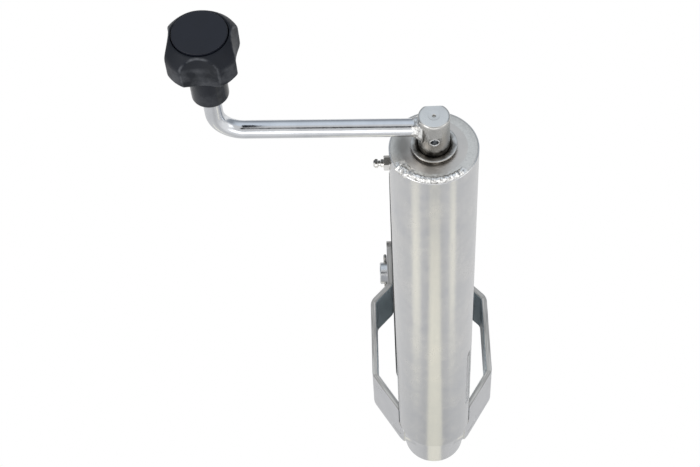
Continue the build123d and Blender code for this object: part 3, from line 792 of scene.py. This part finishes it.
film = times(span(noise(place, 75, 5), 0.42, 0.72),
             span(height, 0.1060, 0.1090, 0.66, 0.03), mix(sleeve, 1.0, 0.5))
paint(black_nylon, math("MAXIMUM", rubbed, film), (0.150, 0.158, 0.176))
gloss = skin.inputs["Roughness"]
tree.links.new(mix(sleeve, gloss.links[0].from_socket, 0.16), gloss)
piece("grip", placed(grip, (0, 0, CRANK_TURN), KNOB_AT), "knob_grip", black_nylon, "knob_plastic", "knob", angle=50)

disc = lathe([(0, 110.4), (7.9, 110.4), (7.9, 113.1), (17.55, 113.1), (17.4, 114.5), (17.25, 118.8), (16.6, 119.0),
              (0, 118.9)], 160, 0.5, 4)
smooth_nylon = moulded("smooth_nylon", (0.012, 0.0145, 0.0235), 0.36, 0.2, 1800, 0.29)
piece("grip_disc", placed(disc, at=KNOB_AT), "knob_grip", smooth_nylon, "knob_plastic", "knob_cap")
dressed("knob_clip", "grip_clip", blued_spring, "spring_steel", 0.2)


# Nut and swivel
# The nut winds along the spindle and is kept from turning by a dog point screw in the slot. Its
# spigot carries the inner tube on a thrust washer and a snap ring, so that the wheel can castor.

cast_nut = machined("cast_nut", (0.36, 0.35, 0.33), 0.34, 0.5, 0.4)
dressed("spindle_nut", "running_nut", cast_nut, "machined_steel", 0.3)
dressed("guide_screw", "slot_screw", blued_spring, "spring_steel", 0.3)
dressed("swivel_clip", "snap_ring", blued_spring, "spring_steel", 0.15)
dressed("swivel_washer", "swivel_ring", ground_steel, "bearing_steel", 0.2)


# Inner tube
# The inner tube is 50 mm steel tube, zinc plated, with a cross bore for the fork's pivot. Round
# the bore it is pressed out into a flat pad with sloped sides, for the legs to bear on.

PIVOT_Z = -408
inner = lathe([(21, -429.2), (21.8, -430), (24.3, -430), (25, -429.3), (25, -275.3), (24.3, -274.7),
               (21.7, -274.7), (21, -275.3)], 160, 0.3, 3)
clip_groove = lathe([(18, -284.1), (22.2, -284.1), (22.2, -281.9), (18, -281.9)], 96)
cross_bores = [placed(round_bar(9, 80, 64), (0, 90, 0), (-40, 0, PIVOT_Z)) for _ in range(2)]
pads = lathe([(0, -25.05), (13.4, -25.05), (19.0, -16.3), (19.0, 16.3), (13.4, 25.05), (0, 25.05)], 96)
pads = cut(placed(pads, (0, 90, 0), (0, 0, PIVOT_Z)), placed(round_bar(22, 60, 96), at=(0, 0, -440)),
           cross_bores[0])
zinc_inner = plated_steel("zinc_inner", (0.66, 0.665, 0.68), (0.57, 0.58, 0.60), 0.19, 0.08, 0.28)
piece("inner_leg", joined(cut(inner, cross_bores[1], clip_groove), pads), "leg", zinc_inner, "zinc_steel",
      "inner_tube")
oiled_bronze = machined("oiled_bronze", (0.46, 0.30, 0.13), 0.38, 0.3, 0.4)
dressed("pivot_bushes", "leg_bushes", oiled_bronze, "bush_bronze", 0.2)


# Fork
# Two lengths of 50 by 5 mm flat bar are bent out round the wheel. Their ends are round at the
# axle and notched to clear the barrel, and their sheared edges keep a coarse grain.

AXLE = Vector((0, 150.5, -397))


def flat_bar_zinc(name, light, dark, rough):
    """Zinc over hot rolled bar: soft mill marks on the faces and a coarse grain on cut edges, which
    runs along the bar through its bends. Inner faces get painted light, paler, bluer and less metallic,
    and faces that look to the front get painted shade."""
    mat, tree, place = blank_material(name)
    cloud = noise(place, 38, 4)
    at = parts(place)
    wide = math("ABSOLUTE", at["X"])
    across = math("SUBTRACT", times(wide, 0.853), times(at["Y"], 0.522))
    behind = math("ADD", times(wide, 0.745), times(at["Y"], 0.668))
    for bend, beyond in ((0.0305, wide), (0.1050, behind), (0.1225, wide)):
        across = mix(span(at["Y"], bend, bend + 0.0015), across, beyond)
    grain = noise(vector(across, times(at["Y"], 0.05), at["Z"]), 620, 3)
    facing = parts(add(tree, "TexCoord").outputs["Normal"])
    edge = span(math("ABSOLUTE", facing["Z"]), 0.6, 0.9)
    # Painted light: faces that look in towards the wheel turn paler, bluer and less metallic, in place of the light
    # they lack there.
    inner_painted_light = span(times(facing["X"], math("SIGN", at["X"])), -0.5, -0.3, 1.0, 0.0)
    tone = math("ADD", cloud, times(math("SUBTRACT", grain, 0.5), edge))
    cut_face = blend_colour(span(grain, 0.38, 0.62), (0.35, 0.325, 0.29), (0.68, 0.64, 0.58))
    colour = blend_colour(span(tone, 0.3, 0.72), dark, light)
    colour = blend_colour(times(edge, 0.85), colour, cut_face)
    colour = blend_colour(inner_painted_light, colour, (0.76, 0.91, 1.0))
    # Painted shade: faces that look to the front are darkened to hide their glint.
    colour = blend_colour(span(facing["Y"], -0.95, -0.80, 0.9, 0.0), colour, (0.50, 0.51, 0.54))
    shine = math("ADD", span(cloud, 0.3, 0.7, rough - 0.04, rough + 0.06), times(edge, 0.12))
    coat(colour, shine, (grain, math("MULTIPLY_ADD", edge, 0.5, 0.12), 0.0002),
         metal=mix(inner_painted_light, 0.95, 0.15))
    return mat


def plan_path(corners, radius, steps=10):
    """Flat path through corners in mm, each inner corner rounded by an arc."""
    path = [Vector(corners[0])]
    for a, b, c in zip(corners, corners[1:], corners[2:]):
        here, back, on = Vector(b), (Vector(a) - Vector(b)).normalized(), (Vector(c) - Vector(b)).normalized()
        half = back.angle(on) / 2
        reach = radius / tan(half)
        centre = here + (back + on).normalized() * (radius / sin(half))
        start, end = here + back * reach, here + on * reach
        for k in range(steps + 1):
            spoke = ((start - centre) * (1 - k / steps) + (end - centre) * (k / steps)).normalized()
            path.append(centre + spoke * radius)
    return path + [Vector(corners[-1])]


def flat_bar(path, thick, low, high, round_off):
    """Bar with rounded corners that stands on edge along a flat path, in mm."""
    corner = [(cos(radians(t)), sin(radians(t))) for t in (0, 22.5, 45, 67.5, 90)]
    a, b = thick / 2 - round_off, (high - low) / 2 - round_off
    section = [(a + x * round_off, b + y * round_off) for x, y in corner]
    section += [(-x, y) for x, y in reversed(section)] + [(-x, -y) for x, y in section] + \
        [(x, -y) for x, y in reversed(section)]
    bm = bmesh.new()
    rings = []
    for i, p in enumerate(path):
        before = (p - path[i - 1]).normalized() if i else (path[1] - p).normalized()
        after = (path[i + 1] - p).normalized() if i + 1 < len(path) else before
        ahead = (before + after).normalized()
        side = Vector((ahead.y, -ahead.x)) / max(ahead.dot(after), 0.5)
        rings.append([bm.verts.new(Vector((p.x + side.x * u, p.y + side.y * u, (low + high) / 2 + v)) * MM)
                      for u, v in section])
    return skinned(bm, rings, False)


def side_plate(points, x0, x1):
    """Prism from an outline of Y and Z points in mm, between two places on X."""
    bm = bmesh.new()
    ends = [[bm.verts.new((x * MM, y * MM, z * MM)) for y, z in points] for x in (x0, x1)]
    return skinned(bm, ends, False)


def arc_points(y, z, r, start, end, steps=12):
    """Points of an arc in the YZ plane, from one angle to another in degrees."""
    return [(y + r * cos(radians(start + (end - start) * k / steps)),
             z + r * sin(radians(start + (end - start) * k / steps))) for k in range(steps + 1)]


def bent_leg(side):
    """One leg of the fork: side is 1 for the right one and -1 for the left one."""
    notch_z = -391.5
    path = plan_path([(12.67, -28), (49.2, 31.7), (49.2, 105.5), (33.5, 123.0), (33.5, 190)], 9.5)
    leg = flat_bar(path, 5.0, -422, -372, 0.7)
    shape = (arc_points(161, -387, 15, 90, 0) + arc_points(161, -407, 15, 0, -90)
             + arc_points(0, PIVOT_Z, 14, -90, -138.6) + arc_points(0, PIVOT_Z, 14, -221.4, -255)
             + [(-5.5, -391.6), (-5.5, -374.5), (-4, -372)])
    leg = cut(leg, side_plate(shape, 5, 70), how="INTERSECT")
    barrel_side = side_plate([(-40, notch_z), (0, notch_z), (0, -350), (-40, -350)], -10, 30.15)
    tube_side = side_plate([(-40, -450), (28, -450), (28, -350), (-40, -350)], -10, 25.15)
    leg = cut(leg, placed(round_bar(30.2, 60, 128), at=(0, 0, notch_z)), barrel_side, tube_side,
              placed(round_bar(7, 60, 64), (0, 90, 0), (5, 0, PIVOT_Z)),
              placed(round_bar(10, 60, 96), (0, 90, 0), AXLE + Vector((5, 0, 0))))
    if side < 0:
        bmesh.ops.scale(leg, vec=(-1, 1, 1), verts=leg.verts)
        bmesh.ops.reverse_faces(leg, faces=leg.faces)
    return leg


zinc_bar = flat_bar_zinc("zinc_bar", (0.66, 0.665, 0.685), (0.53, 0.54, 0.565), 0.29)
piece("left_leg", bent_leg(-1), "fork", zinc_bar, "zinc_steel", "fork_leg_left", angle=30)
piece("right_leg", bent_leg(1), "fork", zinc_bar, "zinc_steel", "fork_leg_right", angle=30)


# Fork pivot
# A pin through the inner tube is welded flush into both legs. A tongue on it meets the tube's
# wall when the fork is fully down and carries the load just past centre.

dressed("pivot_pin", "fork_pin", zinc_bar, "bolt_zinc", 0.15)
dressed("stop_tongue", "fork_stop", zinc_bar, "zinc_steel", 0.4)


# Axle
# A round bar of 20 mm runs through both legs. A split pin at each end keeps it in place, with its
# eye above and its two legs bent apart below.

bright_axle = plated_steel("bright_axle", (0.72, 0.73, 0.74), (0.56, 0.57, 0.58), 0.22, 0.3, 0.15, (0.02, 1, 1))
dressed("axle", "axle_bar", bright_axle, "bolt_zinc", 0.5)
wire_steel = machined("wire_steel", (0.52, 0.51, 0.48), 0.22, 0.3, 0.7)


def split_pin(side):
    """Split pin of 3 mm, leaning back by 55 degrees, with an eye above and bent legs below."""
    ring = [(2.3 + 1.45 * cos(tau * k / 20), 1.45 * sin(tau * k / 20)) for k in range(20)]
    pin = [placed(lathe(ring, 40), (0, 90, 0), (0, 0, 13.6)), placed(round_bar(1.5, 22.6, 24), at=(0, 0, -11.2))]
    for lean in (-62, 62):
        leg = lathe([(0, -5.0), (1.0, -5.0), (1.4, -4.4), (1.4, 0), (0, 0)], 24)
        pin.append(placed(placed(leg, (lean, 0, 0)), at=(0, 0, -11.0)))
    return placed(joined(*pin), (-55, 0, 0), AXLE + Vector((side * 37.8, 0, 0)))


piece("axle_pins", joined(split_pin(-1), split_pin(1)), "fork", wire_steel, "spring_steel", "split_pins")


# Wheel rim
# The rim is moulded in grey plastic, with a long hub and eight ribs on each side of its web. It
# turns on nylon bushes.

grey_moulding = moulded("grey_moulding", (0.27, 0.275, 0.28), 0.45, 0.3, 1200)
tree, given = new_tree("ribs round the hub", Count=8, Inner=0.0215, Outer=0.0660, Width=0.0222, Foot=0.0025,
                       Thickness=0.0040)
rib_size = vector(math("SUBTRACT", given["Outer"], given["Inner"]), given["Thickness"], given["Width"])
rib = step(tree, "MeshCube", {"Size": rib_size, "Vertices X": 6, "Vertices Y": 2, "Vertices Z": 2})
middle_r = times(math("ADD", given["Inner"], given["Outer"]), 0.5)
half_w = math("ADD", times(given["Width"], 0.5), given["Foot"])
pair = together(*(shifted(rib, vector(middle_r, z=times(half_w, way))) for way in (-1.0, 1.0)))
turns = math("DIVIDE", step(tree, "InputIndex"), given["Count"])
spokes = step(tree, "InstanceOnPoints", {"Points": step(tree, "Points", {"Count": given["Count"]}),
                                         "Instance": pair, "Rotation": vector(z=times(turns, tau))})
end_tree(together(given["Geometry"], spokes), grey_moulding)
hoop = lathe([(15.1, -30.5), (22.9, -30.5), (22.9, -3), (65, -3), (65.4, -25.2), (71.9, -25.2), (71.9, 25.2),
              (65.4, 25.2), (65, 3), (22.9, 3), (22.9, 30.5), (15.1, 30.5)], 160, 1.0, 4)
rim = as_shape(grow(hoop, tree, Count=8))
piece("rim", placed(rim, (0, 90, 0), AXLE), "wheel", grey_moulding, "rim_plastic", "wheel_rim")
dressed("hub_bushes", "wheel_bushes", natural_nylon, "guide_plastic", 0.2)


# Tyre
# The solid rubber tyre is pressed on the rim. It has a flat tread, rounded shoulders, a raised
# ring on each side and the fine line of the mould's joint.

rubber, tree, place = blank_material("black_rubber")
bloom = noise(place, 45, 5)
grain = noise(place, 1600, 3)
colour = blend_colour(span(bloom, 0.35, 0.7), (0.016, 0.016, 0.017), (0.040, 0.040, 0.041))
coat(colour, span(bloom, 0.3, 0.7, 0.5, 0.68), (grain, 0.35, 0.00015), metal=0.0, specular=0.35)
side = [(72.0, 27.7), (74.5, 30.3), (78.5, 31.1), (79.2, 31.45), (81.0, 31.45), (81.7, 31.0), (88.0, 31.4),
        (91.5, 31.3), (95.0, 30.4), (97.6, 27.6), (99.1, 23.2), (99.7, 18.0), (100.0, 10.0), (99.95, 1.0),
        (99.95, 0.5), (99.6, 0.3)]
tyre = lathe(side + [(r, -w) for r, w in reversed(side)], 200, 0.5, 2)
piece("solid_tyre", placed(tyre, (0, 90, 0), AXLE), "wheel", rubber, "tyre_rubber", "tyre", angle=40)


# Studio
# A white sheet lies below and a pale sky stands round, each seen white by the camera. Soft lamps
# stand left, right, behind and in front, and three low ones draw the bands along the barrel.

sheet, tree, place = blank_material("white_sheet")
rays = add(tree, "LightPath").outputs
spot = parts(place)
sides = span(math("ABSOLUTE", spot["X"]), 0.08, 0.42, 0.86, 1.0, True)
near = times(span(from_axis(place), 0.7, 2.6, 0.76, 1.0, True), mix(span(spot["Y"], -0.1, -0.3), 1.0, sides))
plain = math("MAXIMUM", rays["Is Camera Ray"], near)
white = add(tree, "Emission", {"Color": (1, 1, 1, 1), "Strength": plain})
paper = add(tree, "BsdfDiffuse", {"Color": (0.82, 0.82, 0.82, 1)})
mirrored = math("MAXIMUM", rays["Is Glossy Ray"], rays["Is Transmission Ray"])
seen = math("MAXIMUM", rays["Is Camera Ray"], mirrored)
shown = add(tree, "MixShader", {0: seen, 1: paper.outputs[0], 2: white.outputs[0]})
add(tree, "OutputMaterial", {"Surface": shown.outputs[0]})
ground = bpy.data.meshes.new("floor")
ground.from_pydata([(-6, -6, -1.1), (6, -6, -1.1), (6, 6, -1.1), (-6, 6, -1.1)], [], [(0, 1, 2, 3)])
ground.materials.append(sheet)
floor = as_object("floor", ground)

world = bpy.data.worlds.new("studio")
bpy.context.scene.world = world
world.use_nodes = True
tree = world.node_tree
tree.nodes.clear()
rays = add(tree, "LightPath").outputs
way = add(tree, "TexCoord").outputs["Generated"]
apart = parts(way)
height = apart["Z"]
behind = span(apart["Y"], -0.15, 0.25, 0.0, 1.0, True)
rear = span(height, 0.40, 0.90, 0.36, 0.92)
fore = span(height, 0.40, 0.50, 1.0, 0.78, True)
toward = vector_math("DOT_PRODUCT", way, (0.0, -0.47, 0.88))["Value"]
overhead = times(mix(behind, fore, rear), span(toward, 0.976, 0.990, 1.0, 0.04, True))
mirrored = math("MAXIMUM", rays["Is Glossy Ray"], rays["Is Transmission Ray"])
strength = math("MAXIMUM", rays["Is Camera Ray"], times(mirrored, overhead))
ambient = times(rays["Is Diffuse Ray"], span(height, -0.2, 0.9, 0.45, 0.62))
strength = math("MAXIMUM", strength, ambient)
tint = blend_colour(times(behind, rays["Is Glossy Ray"]), (1, 1, 1), (0.90, 0.98, 1.08))
sky = add(tree, "Background", {"Color": tint, "Strength": strength})
add(tree, "OutputWorld", {"Surface": sky.outputs[0]})


def softbox(name, at, target, wide, high, watts, colour):
    """Rectangular lamp at a place in metres, turned to its target."""
    lamp = bpy.data.lights.new(name, "AREA")
    lamp.shape, lamp.size, lamp.size_y, lamp.energy, lamp.color = "RECTANGLE", wide, high, watts, colour
    obj = as_object(name, lamp)
    obj.location = at
    obj.rotation_euler = (Vector(target) - Vector(at)).to_track_quat("-Z", "Y").to_euler()


CENTRE, BASE, LOW, CREAM = (0, 0.04, -0.2), (0, 0, -0.2), -1.05, (1.0, 0.93, 0.62)
softbox("left_box", (-1.3, -1.0, 1.0), CENTRE, 0.9, 0.9, 8, (1.0, 0.98, 0.95))
softbox("right_box", (1.4, -0.7, 0.8), CENTRE, 0.8, 0.8, 1.6, (0.95, 0.98, 1.0))
softbox("back_box", (0.2, 1.7, 1.3), CENTRE, 2.6, 1.6, 1.2, (0.93, 0.98, 1.0))
softbox("front_box", (0.0, -2.6, 0.42), (0, 0, 0.1), 2.6, 1.2, 11, (1.0, 1.0, 1.0))
softbox("low_front", (0.0, -0.47, LOW), (0, -0.3, 1.0), 0.30, 0.46, 0.20, CREAM)
softbox("low_left", (-0.47, -0.37, LOW), BASE, 0.24, 0.30, 0.10, CREAM)
softbox("low_right", (0.48, -0.42, LOW), BASE, 0.18, 0.24, 0.065, CREAM)


# Camera
# A long lens looks down along the barrel, from above and from the side away from the wheel, as
# the photograph does.

view = bpy.data.cameras.new("camera")
view.lens, view.sensor_width = 82.2857, 36.0
view.clip_start, view.clip_end = 0.05, 50
camera = as_object("camera", view)
right, down, ahead = (Vector(row) for row in ((0.998954, -0.014455, -0.043386),
                                              (-0.035913, -0.835323, -0.548585),
                                              (-0.028312, 0.549569, -0.834968)))
turn = Matrix((right, -down, -ahead)).transposed().to_4x4()
camera.matrix_world = Matrix.Translation((-0.027497, -0.627280, 0.852896)) @ turn
bpy.context.scene.camera = camera
bpy.context.scene.view_settings.view_transform = "Standard"
